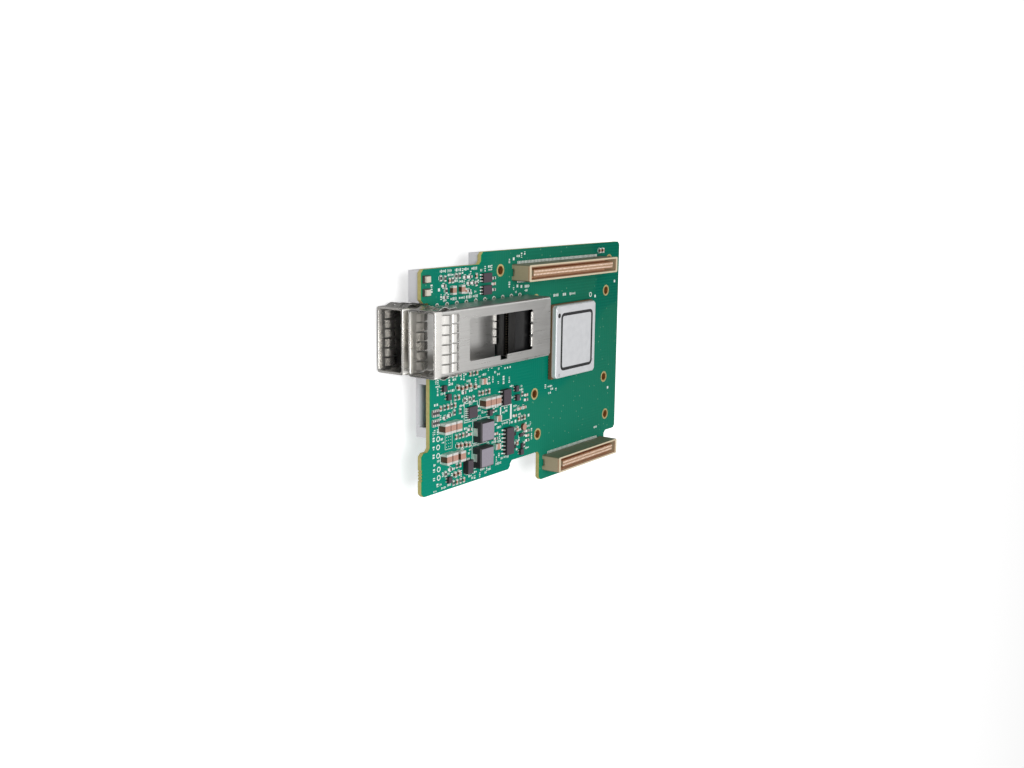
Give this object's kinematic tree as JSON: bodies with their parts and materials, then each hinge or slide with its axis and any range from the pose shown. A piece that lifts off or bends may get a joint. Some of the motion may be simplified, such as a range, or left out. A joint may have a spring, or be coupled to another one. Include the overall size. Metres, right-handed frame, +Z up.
{
  "type": "network adapter card",
  "caption": "Mezzanine network card: module ports on both faces at one end, a lidded processor, board-to-board connectors along the edges and a shallow rear cover.",
  "frame": {"origin": "bottom centre of the box round the whole card, which lies on its back", "axes": "+X from the port end to the rear edge, +Y across the board to the longer connector, +Z up out of the face that carries the board connectors"},
  "size_m": [0.1162, 0.078, 0.0234],
  "materials": {
    "board": "satin",
    "cage_steel": "satin",
    "spring_steel": "satin",
    "socket_plastic": "matte",
    "gold_contact": "polished",
    "connector_plastic": "satin",
    "connector_contact": "satin",
    "substrate": "matte",
    "silicon": "gloss",
    "lid_metal": "satin",
    "cover_plastic": "satin",
    "inductor_shell": "satin",
    "tinned": "satin",
    "package_plastic": "matte",
    "ceramic_tan": "satin",
    "ceramic_black": "satin",
    "light_base": "satin",
    "light_lens": "gloss"
  },
  "bodies": {
    "root": {"circuit_board": "board", "connector_side_cage": "cage_steel", "rear_side_cage": "cage_steel", "connector_side_spring_collar": "spring_steel", "rear_side_spring_collar": "spring_steel", "connector_side_host_socket": "socket_plastic", "connector_side_host_contacts": "gold_contact", "rear_side_host_socket": "socket_plastic", "rear_side_host_contacts": "gold_contact", "upper_board_connector": "connector_plastic", "upper_board_contacts": "connector_contact", "lower_board_connector": "connector_plastic", "lower_board_contacts": "connector_contact", "processor_substrate": "substrate", "processor_die": "silicon", "processor_lid": "lid_metal", "rear_cover": "cover_plastic", "power_inductor_shells": "inductor_shell", "power_inductor_terminals": "tinned", "power_transistor_bodies": "package_plastic", "power_transistor_leads": "tinned", "regulator_bodies": "package_plastic", "regulator_leads": "tinned", "controller_bodies": "package_plastic", "controller_leads": "tinned", "logic_bodies": "package_plastic", "logic_leads": "tinned", "small_transistor_bodies": "package_plastic", "small_transistor_leads": "tinned", "clamp_diode_body": "package_plastic", "clamp_diode_tabs": "tinned", "tall_capacitor_bodies": "ceramic_tan", "tall_capacitor_ends": "tinned", "capacitor_bodies": "ceramic_tan", "capacitor_ends": "tinned", "small_capacitors": "ceramic_tan", "resistors": "ceramic_black", "rear_capacitors": "ceramic_tan", "network_bodies": "ceramic_black", "network_ends": "tinned", "status_light_bases": "light_base", "status_light_lenses": "light_lens"}
  },
  "joints": []
}
